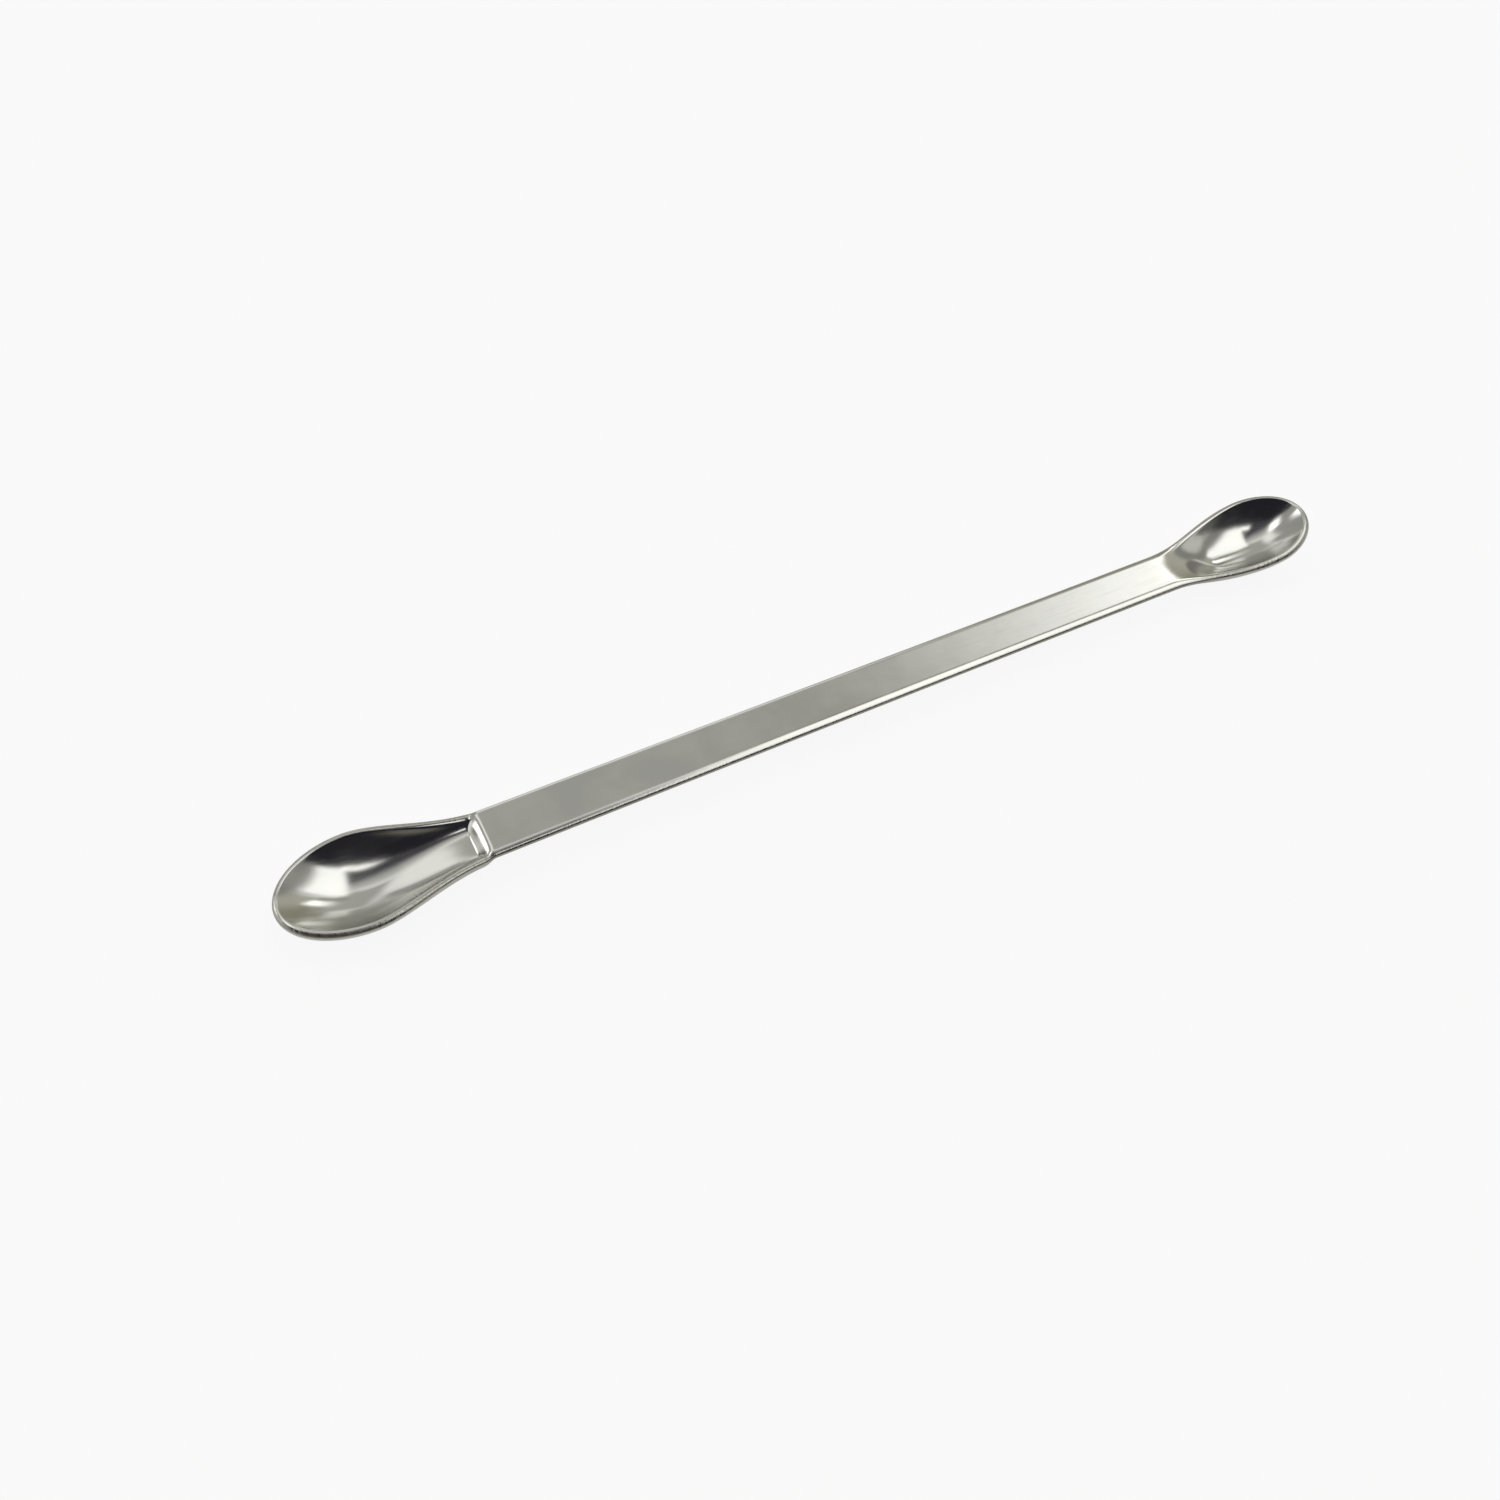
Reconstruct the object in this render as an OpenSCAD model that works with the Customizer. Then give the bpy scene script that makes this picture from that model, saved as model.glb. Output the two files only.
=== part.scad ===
// Double-ended lab spatula, stamped from one strip of sheet steel. A flat handle joins a
// large spoon bowl, which ends at the handle in a sharp step, to a small one, which runs
// out in a soft ramp. It lies on the undersides of its bowls with their hollows up: the
// handle runs along X, the big bowl is at -X and Z = 0 is the table. The big bowl is the
// deeper one, so the handle falls a little towards the small one.

/* [Whole part] */
// Length from tip to tip
total_l = 160; // [130:1:220]
// Thickness of the sheet
sheet_t = 1.2; // [0.8:0.1:1.3]
// How far the rounding of the edge reaches in over the faces at the rims of the bowls
rim_edge = 0.35; // [0.2:0.05:0.8]

/* [Handle] */
// How far the rounding of the edge reaches in over the faces of the handle
handle_edge = 1.1; // [0.6:0.1:1.4]
// Width where the big bowl begins
big_neck_w = 8; // [7:0.1:10]
// Width half-way along
handle_w = 7.6; // [6:0.1:10]
// Width where the small bowl begins
small_neck_w = 7.4; // [6:0.1:9]

/* [Big bowl] */
// Length from the tip to the handle
big_l = 27.7; // [24:0.1:40]
// Width over the rim
big_w = 15.5; // [13:0.1:20]
// Distance from the tip to the widest place
big_nose = 10.9; // [8:0.1:13]
// Depth of its dish below the rim
big_dish = 4.4; // [3:0.1:5]
// Depth of the trough in which it meets the handle
big_trough = 1.7; // [1:0.1:1.8]
// Length of the step from the trough up to the handle
big_step = 2.25; // [2.2:0.05:5]
// How far the rim at the tip stands above the handle
big_tip_rise = 0.8; // [0:0.1:4]
// How far the rim bows up between the tip and the handle
big_arch = 0.65; // [0:0.05:1]

/* [Small bowl] */
// Length from the tip to the handle
small_l = 25.3; // [22:0.1:40]
// Width over the rim
small_w = 13; // [11:0.1:18]
// Distance from the tip to the widest place
small_nose = 8; // [6:0.1:12]
// Depth of its dish below the rim
small_dish = 4; // [2.5:0.1:4.5]
// Depth of the trough in which it meets the handle
small_trough = 2.4; // [1:0.1:3]
// Length of the ramp from the trough up to the handle
small_step = 11; // [6:0.5:14]
// How far the rim at the tip stands above the handle
small_tip_rise = 3.4; // [0:0.1:5]
// How far the rim bows up between the tip and the handle
small_arch = 0; // [0:0.05:1]

/* [Hidden] */

steel = [0.75, 0.76, 0.75];

// Powers that shape a cross-section: 2 is a round dish, higher is flatter with steep walls
bowl_power = 2;
big_trough_power = 4;
small_trough_power = 2.2;
// Where the outline narrows behind the widest place: below 1 is sooner, above 1 is later
big_shoulder = 0.85;
small_shoulder = 1;

// Stations along one end, from the tip to the middle of the handle
nose_stations = 14;
back_stations = 15;
step_stations = 8;
handle_stations = 4;
// Points of a cross-section, from the outline to the centre line
edge_points = 5;
face_points = 9;
half_points = edge_points + face_points;
// Distance over which slopes are measured
nudge = 0.001;

handle_l = total_l - big_l - small_l;

// A bowl is one list of sizes, and these name its places
LENGTH = 0;
HALF_W = 1;
NOSE = 2;
NECK_HALF_W = 3;
DISH = 4;
TROUGH = 5;
STEP = 6;
TIP_RISE = 7;
ARCH = 8;
TROUGH_POWER = 9;
SHOULDER = 10;
BIG = [
    big_l, big_w / 2, big_nose, big_neck_w / 2, big_dish, big_trough,
    big_step, big_tip_rise, big_arch, big_trough_power, big_shoulder
];
SMALL = [
    small_l, small_w / 2, small_nose, small_neck_w / 2, small_dish, small_trough,
    small_step, small_tip_rise, small_arch, small_trough_power, small_shoulder
];

function limit(u) = max(0, min(1, u));
function mix(a, b, share) = a + (b - a) * share;
// Falls smoothly from 1 at u = 0 to 0 at u = 1
function ease(u) = (1 + cos(180 * limit(u))) / 2;

// In what follows s is the distance from the bowl's tip along the part, y the distance
// from the centre line, and heights are those of the sheet's middle above the handle's.
// The named lengths, widths and depths too are those of the sheet's middle.

// Share of the way from the widest place to the handle
function way_back(bowl, s) = limit((s - bowl[NOSE]) / (bowl[LENGTH] - bowl[NOSE]));

// Half the bowl's width: a quarter of an ellipse, then a smooth shoulder to the neck
function half_w(bowl, s) =
    s < bowl[NOSE]
    ? bowl[HALF_W] * sqrt(max(0, 1 - pow(1 - s / bowl[NOSE], 2)))
    : mix(bowl[NECK_HALF_W], bowl[HALF_W], ease(pow(way_back(bowl, s), bowl[SHOULDER])));

// Height of the rim
function rim_z(bowl, s) =
    let (to_tip = limit(1 - s / bowl[LENGTH]))
    bowl[TIP_RISE] * pow(to_tip, 2) + 4 * bowl[ARCH] * to_tip * (1 - to_tip);

// Depth of the floor below the rim: the dish, then the trough, then the step
function depth(bowl, s) =
    mix(bowl[TROUGH], bowl[DISH], ease(way_back(bowl, s)))
    * (1 - ease((bowl[LENGTH] - s) / bowl[STEP]));

// 0 on the floor's centre line, or at the nose's centre, and 1 on the outline
function outward(bowl, s, y) =
    s < bowl[NOSE] ? norm([1 - s / bowl[NOSE], y / bowl[HALF_W]]) : y / half_w(bowl, s);

// Height of the sheet's middle
function sheet_z(bowl, s, y) =
    let (power = mix(bowl[TROUGH_POWER], bowl_power, ease(way_back(bowl, s))))
    rim_z(bowl, s) - depth(bowl, s) * (1 - pow(limit(outward(bowl, s, y)), power));

// Upward normal of the sheet's middle
function sheet_normal(bowl, s, y) =
    let (
        rise_s = sheet_z(bowl, s + nudge, y) - sheet_z(bowl, s - nudge, y),
        rise_y = y < nudge ? 0 : sheet_z(bowl, s, y + nudge) - sheet_z(bowl, s, y - nudge),
        slope = [-rise_s, -rise_y, 2 * nudge]
    )
    slope / norm(slope);

// Half the handle's width, through its three set widths
function handle_half_w(bowl, other, s) =
    let (
        u = (s - bowl[LENGTH]) / handle_l,
        straight = mix(bowl[NECK_HALF_W], other[NECK_HALF_W], u),
        crown = handle_w / 2 - (bowl[NECK_HALF_W] + other[NECK_HALF_W]) / 2
    )
    straight + 4 * crown * u * (1 - u);

// Outline point at s on the bowl's nose, by its angle round the nose
function nose_point(bowl, angle) =
    [bowl[NOSE] * (1 - cos(angle)), bowl[HALF_W] * sin(angle)];

// The outline from the tip to the middle of the handle, as points [s, y]
function outline(bowl, other) =
    let (
        step_start = bowl[LENGTH] - bowl[STEP],
        back_l = step_start - bowl[NOSE],
        middle = total_l / 2
    )
    [
        for (i = [0 : nose_stations]) nose_point(bowl, 90 * i / nose_stations),
        for (i = [1 : back_stations])
            let (s = bowl[NOSE] + back_l * i / back_stations) [s, half_w(bowl, s)],
        for (i = [1 : step_stations])
            let (s = step_start + bowl[STEP] * i / step_stations) [s, half_w(bowl, s)],
        for (i = [1 : handle_stations])
            let (s = mix(bowl[LENGTH], middle, i / handle_stations))
            [s, handle_half_w(bowl, other, s)]
    ];

// Outward normal, in plan, of an outline at point i: along the part at the tip, and square
// to it where the two ends join
function outline_normal(points, i) =
    i == 0 ? [-1, 0]
    : i == len(points) - 1 ? [0, 1]
    : let (along = points[i + 1] - points[i - 1]) [-along.y, along.x] / norm(along);

// How far the rounding of the edge reaches in at s: it widens from the bowl to the handle
function edge_reach(bowl, s) = mix(handle_edge, rim_edge, ease(way_back(bowl, s)));

// Steepness of the sheet at the outline
function rim_slope(bowl, point, normal) =
    let (inner = point - nudge * normal)
    abs(rim_z(bowl, inner.x) - sheet_z(bowl, inner.x, max(0, inner.y))) / nudge;

// One station's points from the outline to the centre line, as [s, y, share of thickness].
// The edge is half an ellipse in section, and the face is spread evenly behind it.
function station(bowl, point, normal) =
    let (
        reach = edge_reach(bowl, point.x) / norm([1, rim_slope(bowl, point, normal)]),
        face = point - reach * normal
    )
    [
        for (k = [0 : edge_points])
            let (
                angle = 90 * k / edge_points,
                p = point - reach * (1 - cos(angle)) * normal
            )
            [p.x, max(0, p.y), sin(angle)],
        for (k = [1 : face_points]) [face.x, max(0, face.y) * (1 - k / face_points), 1]
    ];

// A point of a face of the sheet: side is 1 for the top and -1 for the underside
function face_point(bowl, p, side) =
    [p.x, p.y, sheet_z(bowl, p.x, p.y)]
    + side * p.z * sheet_t / 2 * sheet_normal(bowl, p.x, p.y);

function mirrored(p) = [p.x, -p.y, p.z];

// A closed ring round the section at station i: over the top from one edge to the other
// and back along the underside
function ring(bowl, points, i) =
    let (
        row = station(bowl, points[i], outline_normal(points, i)),
        top = [for (p = row) face_point(bowl, p, 1)],
        under = [for (p = row) face_point(bowl, p, -1)]
    )
    [
        for (k = [0 : half_points]) top[k],
        for (k = [half_points - 1 : -1 : 0]) mirrored(top[k]),
        for (k = [1 : half_points]) mirrored(under[k]),
        for (k = [half_points - 1 : -1 : 1]) under[k]
    ];

rings_l = 4 * half_points;

// Place in the point list of point j of ring i. The tip's ring has no width, so both sides
// of it share their points, and all of its face shares one.
function place(i, j) =
    let (
        k = j % rings_l,
        over = k <= 2 * half_points,
        column = over ? k : rings_l - k,
        depth_in = min(column, 2 * half_points - column, edge_points)
    )
    i > 0 ? i * rings_l + k
    : over || depth_in == 0 ? depth_in
    : rings_l - depth_in;

// The two triangles between rings i and i + 1 at place j, split alike on both sides of the
// centre line, without those that the tip leaves no area
function strip(i, j) =
    let (
        a = place(i, j),
        b = place(i, j + 1),
        c = place(i + 1, j + 1),
        d = place(i + 1, j),
        far_side = j < half_points || j >= 3 * half_points,
        pair = far_side ? [[c, b, a], [d, c, a]] : [[d, b, a], [d, c, b]]
    )
    [for (t = pair) if (t[0] != t[1] && t[1] != t[2] && t[2] != t[0]) t];

// One end of the part, from the tip at s = 0 to the middle of the handle
function end_rings(bowl, other) =
    let (points = outline(bowl, other))
    [for (i = [0 : len(points) - 1]) ring(bowl, points, i)];

module end_solid(rings) {
    last = len(rings) - 1;
    polyhedron(
        points = [for (r = rings) each r],
        faces = [
            for (i = [0 : last - 1], j = [0 : rings_l - 1]) each strip(i, j),
            [for (j = [rings_l - 1 : -1 : 0]) place(last, j)]
        ]
    );
}

// The lowest point of a bowl, as [distance from its tip, height]
function lowest(rings) =
    let (points = [for (r = rings, p = r) [p.x, p.z]], low = min([for (p = points) p.y]))
    [for (p = points) if (p.y == low) p][0];

big_rings = end_rings(BIG, SMALL);
small_rings = end_rings(SMALL, BIG);
big_foot = lowest(big_rings);
small_foot = lowest(small_rings);
// Turn about Y that brings both bowls down to one level
rest_tilt = atan2(small_foot.y - big_foot.y, total_l - small_foot.x - big_foot.x);
// Height to which that turn takes point p of an end: side is -1 for the end at -X
function turned_z(p, side) =
    p.z * cos(rest_tilt) - side * (total_l / 2 - p.x) * sin(rest_tilt);
// Lift that takes the turned part up to the table
rest_h = -min([
    for (r = big_rings, p = r) turned_z(p, -1),
    for (r = small_rings, p = r) turned_z(p, 1)
]);

module spatula() {
    color(steel)
        translate([0, 0, rest_h])
            rotate([0, rest_tilt, 0])
                union() {
                    translate([-total_l / 2, 0, 0]) end_solid(big_rings);
                    translate([total_l / 2, 0, 0])
                        rotate([0, 0, 180])
                            end_solid(small_rings);
                }
}

spatula();
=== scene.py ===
"""Looks for the double-ended lab spatula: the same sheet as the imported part, made finer and
smooth, in polished stainless steel on a white table, with the studio that the steel mirrors."""

import math

import bmesh
import bpy
import numpy as np
from mathutils import Matrix, Vector


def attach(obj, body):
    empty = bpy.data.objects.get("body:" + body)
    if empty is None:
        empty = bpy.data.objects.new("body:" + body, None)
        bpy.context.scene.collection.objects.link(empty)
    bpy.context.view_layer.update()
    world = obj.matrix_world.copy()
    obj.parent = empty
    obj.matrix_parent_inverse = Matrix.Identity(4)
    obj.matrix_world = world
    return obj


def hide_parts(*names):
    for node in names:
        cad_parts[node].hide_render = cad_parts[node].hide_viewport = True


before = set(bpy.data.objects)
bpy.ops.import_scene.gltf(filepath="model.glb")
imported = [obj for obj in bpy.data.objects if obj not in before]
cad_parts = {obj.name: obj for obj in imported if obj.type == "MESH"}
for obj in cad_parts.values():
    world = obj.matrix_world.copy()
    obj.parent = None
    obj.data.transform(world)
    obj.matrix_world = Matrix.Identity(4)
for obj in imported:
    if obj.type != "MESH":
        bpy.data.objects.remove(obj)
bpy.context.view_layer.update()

# ---------------------------------------------------------------- sizes as in the CAD source

# in mm; lengths, widths and depths are those of the middle of the sheet
TOTAL_L = 160
SHEET_T = 1.2
RIM_EDGE = 0.35
HANDLE_EDGE = 1.1
HANDLE_W = 7.6
BOWL_POWER = 2
BIG = dict(
    length=27.7,
    half_w=15.5 / 2,
    nose=10.9,
    neck_half_w=8 / 2,
    dish=4.4,
    trough=1.7,
    step=2.25,
    tip_rise=0.8,
    arch=0.65,
    trough_power=4,
    shoulder=0.85,
)
SMALL = dict(
    length=25.3,
    half_w=13 / 2,
    nose=8,
    neck_half_w=7.4 / 2,
    dish=4,
    trough=2.4,
    step=11,
    tip_rise=3.4,
    arch=0,
    trough_power=2.2,
    shoulder=1,
)
HANDLE_L = TOTAL_L - BIG["length"] - SMALL["length"]

# ---------------------------------------------------------------- the net of the finer sheet

# steps along each part of one end
NOSE_STATIONS = 48
BACK_STATIONS = 52
STEP_STATIONS = 28
HANDLE_STATIONS = 40
# steps across half a face: over the rounding of the edge, and from there to the middle
EDGE_POINTS = 10
FACE_POINTS = 26
# the distance in mm over which slopes are measured
NUDGE = 0.001
MM_PER_M = 1000
# the finer net reaches a few micrometres past the CAD model's box, so it is drawn in
DRAW_IN = (0.9999, 0.9993, 0.9999)
# in m: corners of the skin closer than this are one
SAME_PLACE = 1e-7
# the look of the cut edge is full up to the first and gone at the second of these heights over
# the middle of the sheet, as shares of half its thickness
CUT_EDGE_FULL = 0.3
CUT_EDGE_GONE = 0.8

# ---------------------------------------------------------------- the shape of the sheet

# Each end is described from its own tip: s is the distance from the tip along the part, y the
# distance from its middle line and z the height over the flat of the handle, all in mm.


def mix(a, b, share):
    return a + (b - a) * share


def ease(u):
    """Falls smoothly from 1 at u = 0 to 0 at u = 1."""
    return (1 + np.cos(math.pi * np.clip(u, 0, 1))) / 2


def way_back(bowl, s):
    """0 in the nose of the bowl, rising to 1 where the bowl meets the handle."""
    return np.clip((s - bowl["nose"]) / (bowl["length"] - bowl["nose"]), 0, 1)


def half_w(bowl, s):
    """Half the width: an ellipse in the nose, then an eased line to the neck."""
    round_part = bowl["half_w"] * np.sqrt(np.clip(1 - (1 - s / bowl["nose"]) ** 2, 0, 1))
    shoulder = ease(way_back(bowl, s) ** bowl["shoulder"])
    return np.where(
        s < bowl["nose"], round_part, mix(bowl["neck_half_w"], bowl["half_w"], shoulder)
    )


def rim_z(bowl, s):
    """Height of the rim: it rises to the tip and is bowed in between."""
    to_tip = np.clip(1 - s / bowl["length"], 0, 1)
    return bowl["tip_rise"] * to_tip**2 + 4 * bowl["arch"] * to_tip * (1 - to_tip)


def depth(bowl, s):
    """How far the middle line lies under the rim: a dish, then a trough, then the step up."""
    floor = mix(bowl["trough"], bowl["dish"], ease(way_back(bowl, s)))
    return floor * (1 - ease((bowl["length"] - s) / bowl["step"]))


def outward(bowl, s, y):
    """0 in the middle of the bowl, 1 at its rim."""
    in_nose = np.hypot(1 - s / bowl["nose"], y / bowl["half_w"])
    return np.where(s < bowl["nose"], in_nose, y / np.maximum(half_w(bowl, s), 1e-9))


def sheet_z(bowl, s, y):
    """Height of the middle of the sheet."""
    power = mix(bowl["trough_power"], BOWL_POWER, ease(way_back(bowl, s)))
    dish = 1 - np.clip(outward(bowl, s, y), 0, 1) ** power
    return rim_z(bowl, s) - depth(bowl, s) * dish


def sheet_normal(bowl, s, y):
    """Unit normals of the middle of the sheet; on the middle line they don't lean sideways."""
    rise_s = sheet_z(bowl, s + NUDGE, y) - sheet_z(bowl, s - NUDGE, y)
    rise_y = sheet_z(bowl, s, y + NUDGE) - sheet_z(bowl, s, np.abs(y - NUDGE))
    slope = np.stack([-rise_s, np.where(y < NUDGE, 0, -rise_y), np.full_like(s, 2 * NUDGE)], -1)
    return slope / np.linalg.norm(slope, axis=-1, keepdims=True)


def handle_half_w(bowl, other, s):
    """Half the handle's width: a bowed line from one neck to the other."""
    u = (s - bowl["length"]) / HANDLE_L
    straight = mix(bowl["neck_half_w"], other["neck_half_w"], u)
    crown = HANDLE_W / 2 - (bowl["neck_half_w"] + other["neck_half_w"]) / 2
    return straight + 4 * crown * u * (1 - u)


def outline(bowl, other):
    """Points [s, y] from the tip to the middle of the handle."""
    angle = np.linspace(0, math.pi / 2, NOSE_STATIONS + 1)
    step_start = bowl["length"] - bowl["step"]
    s = np.concatenate(
        [
            np.linspace(bowl["nose"], step_start, BACK_STATIONS + 1)[1:],
            np.linspace(step_start, bowl["length"], STEP_STATIONS + 1)[1:],
        ]
    )
    handle_s = np.linspace(bowl["length"], TOTAL_L / 2, HANDLE_STATIONS + 1)[1:]
    return np.concatenate(
        [
            np.stack([bowl["nose"] * (1 - np.cos(angle)), bowl["half_w"] * np.sin(angle)], -1),
            np.stack([s, half_w(bowl, s)], -1),
            np.stack([handle_s, handle_half_w(bowl, other, handle_s)], -1),
        ]
    )


def outline_normals(points):
    """Unit normals of the outline, pointing out of the part."""
    along = np.empty_like(points)
    along[1:-1] = points[2:] - points[:-2]
    along[0] = (0, 1)
    along[-1] = (1, 0)
    normals = np.stack([-along[:, 1], along[:, 0]], -1)
    return normals / np.linalg.norm(normals, axis=1, keepdims=True)


def end_faces(bowl, other):
    """Top and underside of one end as arrays [station, column, xyz], with x from the tip."""
    points = outline(bowl, other)
    normals = outline_normals(points)
    # the rounding of the edge reaches less far inward where the sheet is steep
    inner = points - NUDGE * normals
    rim_slope = np.abs(
        rim_z(bowl, inner[:, 0]) - sheet_z(bowl, inner[:, 0], np.maximum(0, inner[:, 1]))
    ) / NUDGE
    reach = mix(HANDLE_EDGE, RIM_EDGE, ease(way_back(bowl, points[:, 0])))
    reach = reach / np.hypot(1, rim_slope)
    # across half a face: a quarter turn over the rounding, then even steps to the middle line
    angle = np.linspace(0, math.pi / 2, EDGE_POINTS + 1)
    inset = reach[:, None] * (1 - np.cos(angle))
    s = points[:, :1] - inset * normals[:, :1]
    y = np.maximum(0, points[:, 1:] - inset * normals[:, 1:])
    share = np.broadcast_to(np.sin(angle), s.shape)
    to_centre = 1 - np.arange(1, FACE_POINTS + 1) / FACE_POINTS
    s = np.concatenate([s, np.repeat(s[:, -1:], FACE_POINTS, 1)], 1)
    y = np.concatenate([y, y[:, -1:] * to_centre], 1)
    share = np.concatenate([share, np.ones((len(s), FACE_POINTS))], 1)
    # both faces are set off from the middle of the sheet, along its normal
    middle = np.stack([s, y, sheet_z(bowl, s, y)], -1)
    offset = (share * SHEET_T / 2)[..., None] * sheet_normal(bowl, s, y)
    return middle + offset, middle - offset


def whole_faces():
    """Top and underside of the whole part, with x from the middle of its length."""
    big_top, big_under = end_faces(BIG, SMALL)
    small_top, small_under = end_faces(SMALL, BIG)
    whole = []
    for big, small in ((big_top, small_top), (big_under, small_under)):
        big, small = big.copy(), small.copy()
        big[..., 0] -= TOTAL_L / 2
        small[..., 0] = TOTAL_L / 2 - small[..., 0]
        whole.append(np.concatenate([big, small[-2::-1]]))
    return whole


def rest_place():
    """The turn and lift that lay the part on the lowest points of its two bowls."""
    under = whole_faces()[1].reshape(-1, 3)
    big = min(under[under[:, 0] < 0], key=lambda p: p[2])
    small = min(under[under[:, 0] > 0], key=lambda p: p[2])
    tilt = math.atan2(small[2] - big[2], small[0] - big[0])
    lift = -(under @ (-math.sin(tilt), 0, math.cos(tilt))).min() / MM_PER_M
    return Matrix.Translation((0, 0, lift)) @ Matrix.Rotation(tilt, 4, "Y")


def skin_rings():
    """Rings of points round the section, [station, column, xyz], from tip to tip."""
    top, under = whole_faces()
    mirror = np.array([1, -1, 1])
    return np.concatenate(
        [top, top[:, -2::-1] * mirror, under[:, 1:] * mirror, under[:, -2:0:-1]], 1
    )


def cut_edge_shares(ring_l):
    """For each column of a ring: 1 on the cut edge of the sheet and 0 on its faces."""
    column = np.arange(ring_l)
    # columns from the nearest of the two edges
    column = np.minimum(column, ring_l - column)
    column = np.minimum(column, 2 * (EDGE_POINTS + FACE_POINTS) - column)
    height = np.sin(math.pi / 2 * np.minimum(column / EDGE_POINTS, 1))
    return np.clip((CUT_EDGE_GONE - height) / (CUT_EDGE_GONE - CUT_EDGE_FULL), 0, 1)


def make_mesh(name, place):
    """One closed skin: the rings joined from tip to tip, and laid in their place."""
    rings = skin_rings()
    ring_count, ring_l = rings.shape[:2]
    i, j = np.meshgrid(np.arange(ring_count - 1), np.arange(ring_l), indexing="ij")
    nxt = (j + 1) % ring_l
    corners = [(i, j), (i + 1, j), (i + 1, nxt), (i, nxt)]
    quads = np.stack([ring * ring_l + column for ring, column in corners], -1)
    mesh = bpy.data.meshes.new(name)
    points = rings.reshape(-1, 3) / MM_PER_M
    mesh.from_pydata(points.tolist(), [], quads.reshape(-1, 4).tolist())
    mesh.transform(place)
    mesh.transform(Matrix.Diagonal((*DRAW_IN, 1)))
    cut_edge = mesh.attributes.new("cut_edge", "FLOAT", "POINT")
    cut_edge.data.foreach_set("value", np.tile(cut_edge_shares(ring_l), ring_count))
    obj = bpy.data.objects.new(name, mesh)
    bpy.context.scene.collection.objects.link(obj)

    bm = bmesh.new()
    bm.from_mesh(mesh)
    bmesh.ops.remove_doubles(bm, verts=bm.verts, dist=SAME_PLACE)
    bmesh.ops.recalc_face_normals(bm, faces=bm.faces)
    for face in bm.faces:
        face.smooth = True
    bm.to_mesh(mesh)
    bm.free()
    return obj


# ---------------------------------------------------------------- materials

STEEL_COLOURS = ((0.63, 0.63, 0.605), (0.68, 0.675, 0.64))
# the cut edge's tone is partly the duller sheared steel and partly painted shade, for the
# shadowed table that the edge mirrors
CUT_EDGE_TONE_AND_SHADE = (0.40, 0.39, 0.34)
BUMP_STRENGTH = 0.35
# in m, for a height of 1
BUMP_DISTANCE = 0.00009
TABLE_COLOUR = (0.93, 0.93, 0.93, 1)
# the shares of plain white that the camera and that reflections see on the table
WHITE_SEEN = 0.9
WHITE_MIRRORED = 0.3


class Nodes:
    """A node tree, with short ways to make its nodes."""

    def __init__(self, owner):
        owner.use_nodes = True
        self.tree = owner.node_tree
        self.tree.nodes.clear()

    def new(self, kind, **settings):
        node = self.tree.nodes.new(kind)
        for name, value in settings.items():
            setattr(node, name, value)
        return node

    def put(self, socket, value):
        """Sets a socket to a value, or links it from another socket."""
        if isinstance(value, bpy.types.NodeSocket):
            self.tree.links.new(value, socket)
        else:
            socket.default_value = value

    def math(self, operation, *values):
        node = self.new("ShaderNodeMath", operation=operation)
        for socket, value in zip(node.inputs, values):
            self.put(socket, value)
        return node.outputs[0]

    def add(self, first, second):
        return self.math("ADD", first, second)

    def minus(self, first, second):
        return self.math("SUBTRACT", first, second)

    def either(self, first, second):
        """The greater of two values."""
        return self.math("MAXIMUM", first, second)

    def times(self, *values):
        result = values[0]
        for value in values[1:]:
            result = self.math("MULTIPLY", result, value)
        return result

    def rise(self, value, start, end, low=0.0, high=1.0):
        """Goes smoothly from low to high as the value goes from start to end."""
        node = self.new("ShaderNodeMapRange", interpolation_type="SMOOTHSTEP")
        numbers = (value, start, end, low, high)
        for name, number in zip(("Value", "From Min", "From Max", "To Min", "To Max"), numbers):
            self.put(node.inputs[name], number)
        return node.outputs[0]

    def fall(self, value, start, end):
        """Goes smoothly from 1 to 0 as the value goes from start to end."""
        return self.rise(value, start, end, 1.0, 0.0)

    def between(self, value, low, high, soft):
        """1 from low to high and 0 beyond, over soft borders."""
        rise = self.rise(value, low - soft, low + soft)
        return self.times(rise, self.fall(value, high - soft, high + soft))

    def blend(self, share, first, second):
        """The first colour where the share is 0, the second where it is 1."""
        node = self.new("ShaderNodeMix", data_type="RGBA")
        self.put(node.inputs[0], share)
        # 6 and 7 are the sockets A and B for colours, and output 2 is their result
        for socket, colour in ((node.inputs[6], first), (node.inputs[7], second)):
            self.put(socket, colour if isinstance(colour, bpy.types.NodeSocket) else (*colour, 1))
        return node.outputs[2]

    def noise(self, where, scale, detail=2.0, roughness=0.5):
        node = self.new("ShaderNodeTexNoise")
        self.put(node.inputs["Vector"], where)
        self.put(node.inputs["Scale"], scale)
        self.put(node.inputs["Detail"], detail)
        self.put(node.inputs["Roughness"], roughness)
        return node.outputs["Fac"]

    def stretched(self, where, scale):
        """The place, scaled along, across and up."""
        node = self.new("ShaderNodeMapping")
        self.put(node.inputs["Vector"], where)
        self.put(node.inputs["Scale"], scale)
        return node.outputs[0]


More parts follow.
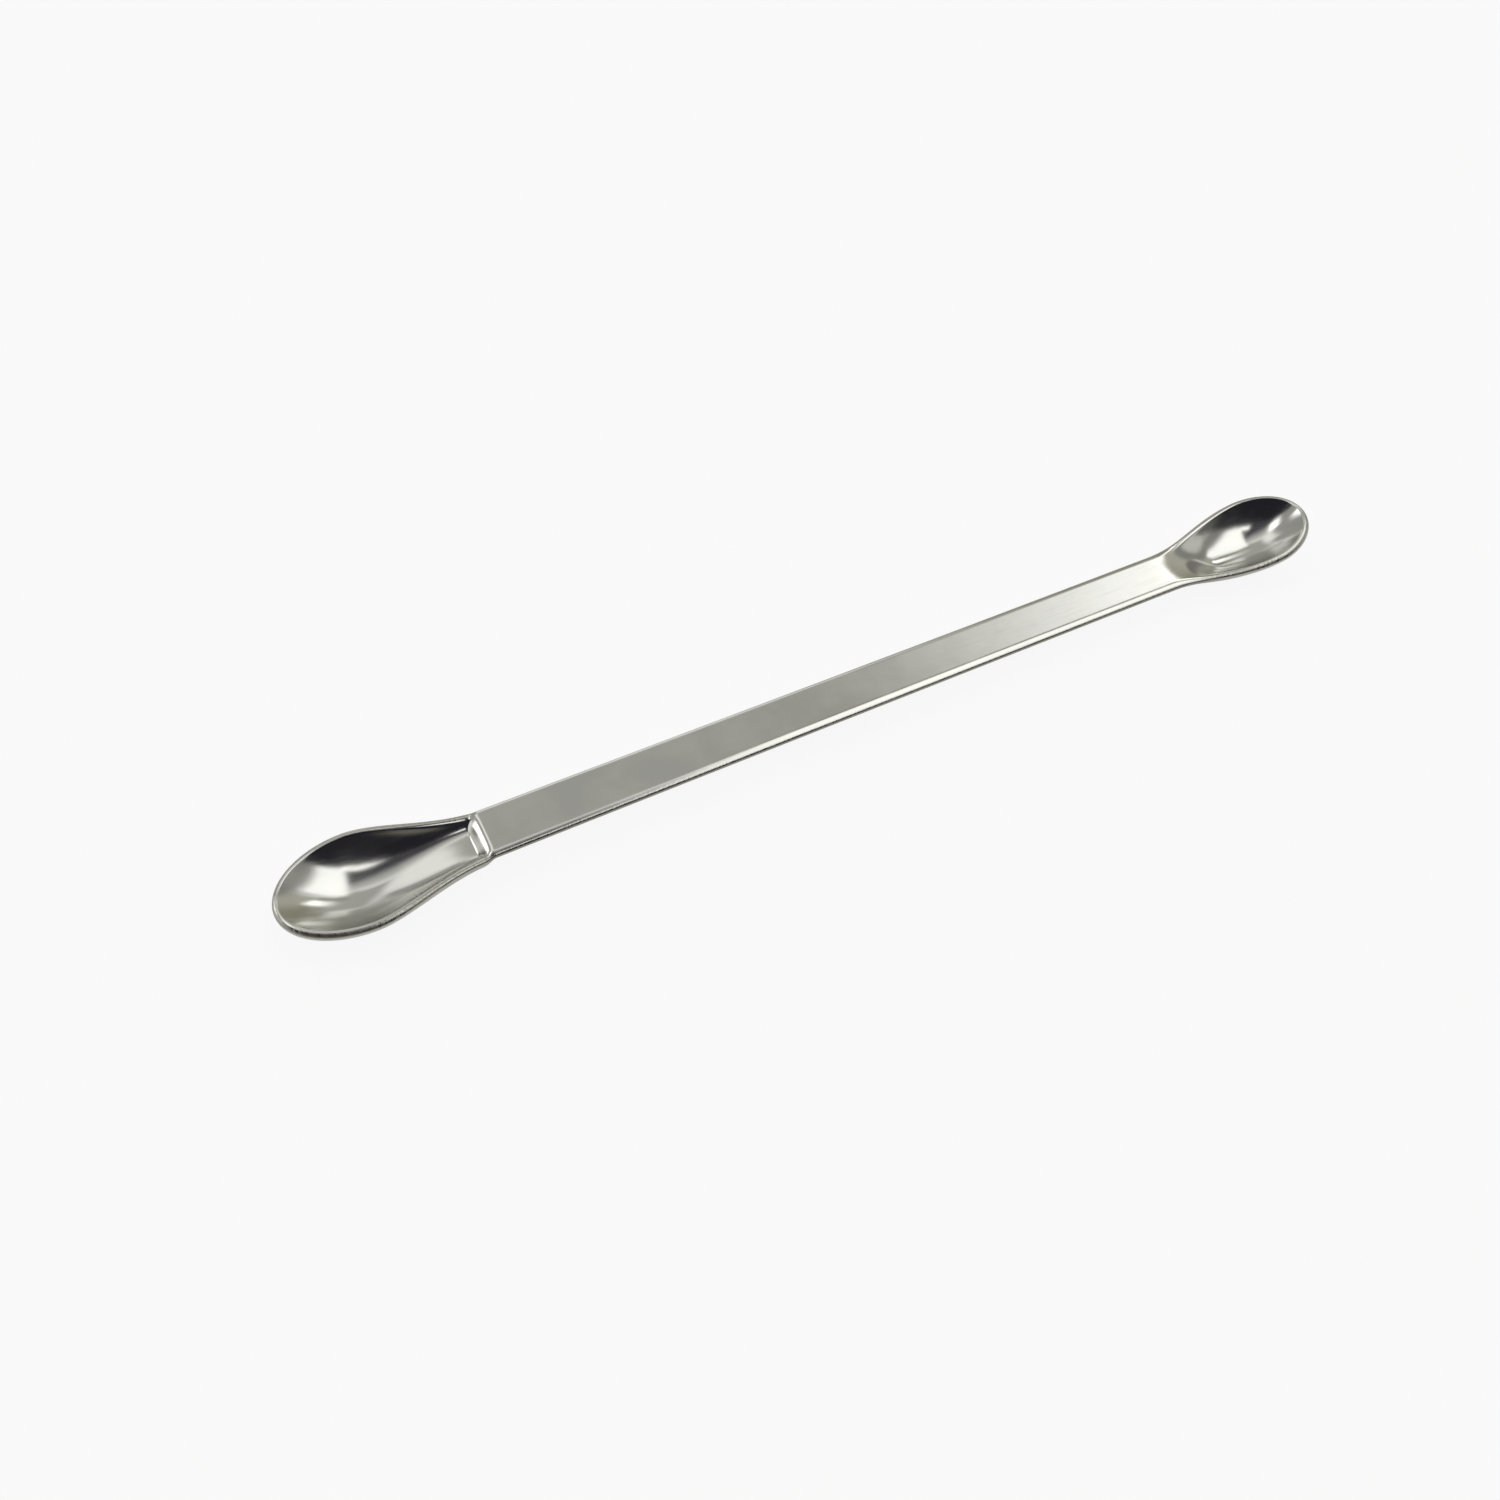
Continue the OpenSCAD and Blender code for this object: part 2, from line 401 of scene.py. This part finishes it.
def steel_material():
    """Polished stainless steel: clear but not perfect, with fine marks and a rougher cut edge
    whose darker tone is partly painted shade.
    """
    material = bpy.data.materials.new("polished_steel")
    n = Nodes(material)
    out = n.new("ShaderNodeOutputMaterial")
    shader = n.new("ShaderNodeBsdfPrincipled")
    shader.inputs["Metallic"].default_value = 1.0
    place = n.new("ShaderNodeTexCoord").outputs["Object"]
    edge = n.new("ShaderNodeAttribute", attribute_name="cut_edge").outputs["Fac"]

    # soft clouds, as polishing leaves them, and streaks along the part; the cut edge is duller
    clouds = n.noise(place, 160.0, 3.0)
    streaks = n.noise(n.stretched(place, (120.0, 3200.0, 1200.0)), 1.0, 3.0, 0.6)
    fine = n.noise(n.stretched(place, (900.0, 9000.0, 3000.0)), 1.0, 2.0, 0.5)
    shear = n.noise(n.stretched(place, (2600.0, 500.0, 350.0)), 1.0, 1.0)

    tone = n.blend(n.rise(clouds, 0.35, 0.68), *STEEL_COLOURS)
    # painted shade: the cut edge is darkened partly for its duller sheared steel and partly for
    # the shadowed table it mirrors
    tone = n.blend(n.times(edge, 0.8), tone, CUT_EDGE_TONE_AND_SHADE)
    n.put(shader.inputs["Base Color"], tone)

    rough = n.rise(clouds, 0.3, 0.7, 0.12, 0.17)
    rough = n.add(rough, n.rise(streaks, 0.45, 0.75, 0.0, 0.05))
    rough = n.add(rough, n.times(edge, n.rise(shear, 0.3, 0.7, 0.12, 0.26)))
    n.put(shader.inputs["Roughness"], rough)

    # the polished faces are faintly uneven, and the cut edge has marks across it
    height = n.times(clouds, 0.6)
    height = n.add(height, n.times(fine, 0.04))
    height = n.add(height, n.times(edge, shear, 1.4))
    bump = n.new("ShaderNodeBump")
    bump.inputs["Strength"].default_value = BUMP_STRENGTH
    bump.inputs["Distance"].default_value = BUMP_DISTANCE
    n.put(bump.inputs["Height"], height)
    n.put(shader.inputs["Normal"], bump.outputs[0])
    n.put(out.inputs["Surface"], shader.outputs[0])
    return material


def table_material():
    """Matt white, with a share of its own light for what looks at it, so it stays pale."""
    material = bpy.data.materials.new("white_table")
    n = Nodes(material)
    out = n.new("ShaderNodeOutputMaterial")
    matt = n.new("ShaderNodeBsdfDiffuse")
    matt.inputs["Color"].default_value = TABLE_COLOUR
    pale = n.new("ShaderNodeEmission")
    pale.inputs["Color"].default_value = (1, 1, 1, 1)
    pale.inputs["Strength"].default_value = 1.0
    ray = n.new("ShaderNodeLightPath").outputs
    reflected = n.either(ray["Is Glossy Ray"], ray["Is Transmission Ray"])
    seen = n.times(ray["Is Camera Ray"], WHITE_SEEN)
    share = n.either(seen, n.times(reflected, WHITE_MIRRORED))
    mixed = n.new("ShaderNodeMixShader")
    n.put(mixed.inputs[0], share)
    n.put(mixed.inputs[1], matt.outputs[0])
    n.put(mixed.inputs[2], pale.outputs[0])
    n.put(out.inputs["Surface"], mixed.outputs[0])
    return material


rest = rest_place()
spatula = make_mesh("spatula_steel", rest)
spatula.data.materials.append(steel_material())
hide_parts("spatula")
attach(spatula, "root")

# ---------------------------------------------------------------- table, light and camera

TABLE_SIZE = 6

bpy.ops.mesh.primitive_plane_add(size=TABLE_SIZE)
table = bpy.context.object
table.name = "table"
table.data.materials.append(table_material())

# the camera, in the frame of the handle and in m; the lens is in pixels of its picture
VIEW_AZIMUTH = math.radians(26.64)
VIEW_ELEVATION = math.radians(51)
VIEW_TARGET = Vector((-0.01585, -0.00274, 0))
VIEW_DISTANCE = 0.1904
LENS_PX = 1408
PICTURE_PX = 1500
SENSOR_W = 36
# level directions from the camera: away from it, and to its right
away = Vector((math.sin(VIEW_AZIMUTH), math.cos(VIEW_AZIMUTH), 0))
right = Vector((math.cos(VIEW_AZIMUTH), -math.sin(VIEW_AZIMUTH), 0))

# the parts of the studio, where 1 is white and more is a light
WHITE = (1.0, 1.0, 1.0)
FAR_WALL = (0.95, 0.95, 0.94)
FAR_FLOOR = ((0.32, 0.315, 0.24), (0.52, 0.51, 0.44))
FAR_CEILING = (1.1, 1.1, 1.08)
MIDDLE_CEILING = (0.58, 0.58, 0.56)
NEAR_CEILING = (0.07, 0.07, 0.08)
GREY_PANEL = (0.47, 0.47, 0.445)
GLOW_PANEL = ((0.58, 0.58, 0.55), (2.15, 2.15, 2.14))
DULL_PANEL = (0.34, 0.335, 0.27)
MAIN_LIGHT = (1.55, 1.55, 1.53)
NARROW_LIGHT = (1.85, 1.85, 1.82)
LEFT_WALL = (0.38, 0.38, 0.36)
LEFT_LIGHTS = (2.4, 2.4, 2.35)
RIGHT_WALL = (0.30, 0.30, 0.28)
RIGHT_WALL_END = (0.70, 0.70, 0.66)
DARK_ROOM = (0.02, 0.02, 0.026)
DARK_ROOM_RIGHT = (0.16, 0.16, 0.15)
DARK_ROOM_LEFT = (1.0, 1.0, 0.98)
NEAR_FLOOR = (0.28, 0.27, 0.22)


def world_light():
    """The studio: soft lights and grey panels overhead, a dark room behind the camera.

    Its parts are placed by two angles in degrees. turn goes from 0 at the horizon behind the
    part over the top to 180 behind the camera, and side is the angle to the right of that arc.
    """
    world = bpy.data.worlds.new("studio")
    bpy.context.scene.world = world
    n = Nodes(world)
    out = n.new("ShaderNodeOutputWorld")
    background = n.new("ShaderNodeBackground")
    direction = n.new("ShaderNodeTexCoord").outputs["Generated"]

    def along(axis):
        node = n.new("ShaderNodeVectorMath", operation="DOT_PRODUCT")
        n.put(node.inputs[0], direction)
        node.inputs[1].default_value = axis
        return node.outputs["Value"]

    turn = n.math("DEGREES", n.math("ARCTAN2", along((0, 0, 1)), along(away)))
    side = n.math("DEGREES", n.math("ARCSINE", along(right)))

    # the pale wall behind the part, and a dull floor that comes up on the right
    colour = FAR_WALL
    rising = n.minus(turn, n.times(side, 2.0))
    dull = n.blend(n.rise(side, 16.0, 36.0), *FAR_FLOOR)
    colour = n.blend(n.times(n.fall(rising, 10.0, 28.0), n.fall(turn, 52.0, 58.0)), colour, dull)
    # overhead a bright ceiling that gets darker towards the camera, sooner on the right
    to_right = n.either(n.add(side, 4.0), 0.0)
    back = n.add(turn, n.times(to_right, 0.5))
    ceiling = n.blend(n.rise(back, 68.0, 84.0), FAR_CEILING, MIDDLE_CEILING)
    ceiling = n.blend(n.rise(back, 82.0, 103.0), ceiling, NEAR_CEILING)
    start = n.add(turn, n.times(n.fall(side, -26.0, -20.0), 9.0))
    colour = n.blend(n.rise(start, 54.0, 58.0), colour, ceiling)
    # the grey panel that the flat of the handle shows
    upper = n.add(turn, n.times(n.either(side, 0.0), 0.5))
    panel = n.times(n.between(upper, 26.0, 70.0, 3.0), n.between(side, -22.0, 11.0, 4.0))
    colour = n.blend(panel, colour, GREY_PANEL)
    # which runs into a light at its right end, with a dull panel above that
    glow = n.blend(n.rise(side, 3.0, 24.0), *GLOW_PANEL)
    panel = n.times(n.between(turn, 37.0, 48.5, 2.5), n.between(side, 3.0, 26.0, 3.0))
    colour = n.blend(panel, colour, glow)
    panel = n.times(n.between(turn, 50.0, 58.0, 2.0), n.between(side, 2.0, 24.0, 3.0))
    colour = n.blend(panel, colour, DULL_PANEL)
    # the main light over it, with a slanting left border, and a narrow one at its end
    slant = n.minus(side, n.times(turn, 0.36))
    main = n.times(n.between(turn, 62.0, 113.0, 3.0), n.rise(slant, -20.0, -15.0))
    colour = n.blend(main, colour, MAIN_LIGHT)
    strip = n.times(n.between(turn, 108.0, 115.0, 2.0), n.between(side, 4.0, 24.0, 2.5))
    colour = n.blend(strip, colour, NARROW_LIGHT)
    # on the left a grey wall with two lights
    wall = n.times(n.fall(side, -29.0, -23.0), n.fall(turn, 36.0, 44.0))
    wall = n.either(wall, n.fall(side, -40.0, -35.0))
    colour = n.blend(wall, colour, LEFT_WALL)
    card = n.times(n.between(turn, 32.0, 70.0, 3.0), n.fall(side, -60.0, -53.0))
    blob = n.times(n.between(turn, 77.0, 97.0, 5.0), n.between(side, -45.0, -33.0, 3.0))
    colour = n.blend(n.either(card, blob), colour, LEFT_LIGHTS)
    # a grey wall on the right, paler at its end
    colour = n.blend(n.rise(side, 38.0, 47.0), colour, RIGHT_WALL)
    colour = n.blend(n.rise(side, 54.0, 63.0), colour, RIGHT_WALL_END)
    # the dark room behind the camera, paler at both sides, with a dull floor
    to_left = n.math("MINIMUM", n.add(side, 12.0), 0.0)
    shade = n.minus(turn, n.times(to_left, 0.45))
    dark = n.blend(n.rise(side, 48.0, 66.0), DARK_ROOM, DARK_ROOM_RIGHT)
    dark = n.blend(n.fall(side, -62.0, -55.0), dark, DARK_ROOM_LEFT)
    colour = n.blend(n.rise(shade, 113.0, 120.0), colour, dark)
    colour = n.blend(n.rise(turn, 150.0, 168.0), colour, NEAR_FLOOR)
    # what looks straight at it sees a plain white wall
    ray = n.new("ShaderNodeLightPath").outputs
    seen = n.either(ray["Is Camera Ray"], ray["Is Transmission Ray"])
    colour = n.blend(seen, colour, WHITE)
    n.put(background.inputs["Color"], colour)
    n.put(out.inputs["Surface"], background.outputs[0])


def add_camera(place):
    """The camera, placed in the frame of the handle and moved with it to where the part lies."""
    data = bpy.data.cameras.new("camera")
    data.lens = SENSOR_W * LENS_PX / PICTURE_PX
    data.sensor_width = SENSOR_W
    data.clip_start = 0.01
    data.clip_end = 50
    camera = bpy.data.objects.new("camera", data)
    bpy.context.scene.collection.objects.link(camera)
    forward = away * math.cos(VIEW_ELEVATION) + Vector((0, 0, -math.sin(VIEW_ELEVATION)))
    up = right.cross(forward)
    rotation = Matrix((right, up, -forward)).transposed()
    in_handle = Matrix.Translation(VIEW_TARGET - forward * VIEW_DISTANCE) @ rotation.to_4x4()
    camera.matrix_world = place @ in_handle
    bpy.context.scene.camera = camera


world_light()
add_camera(rest)

bpy.context.scene.view_settings.view_transform = "Standard"
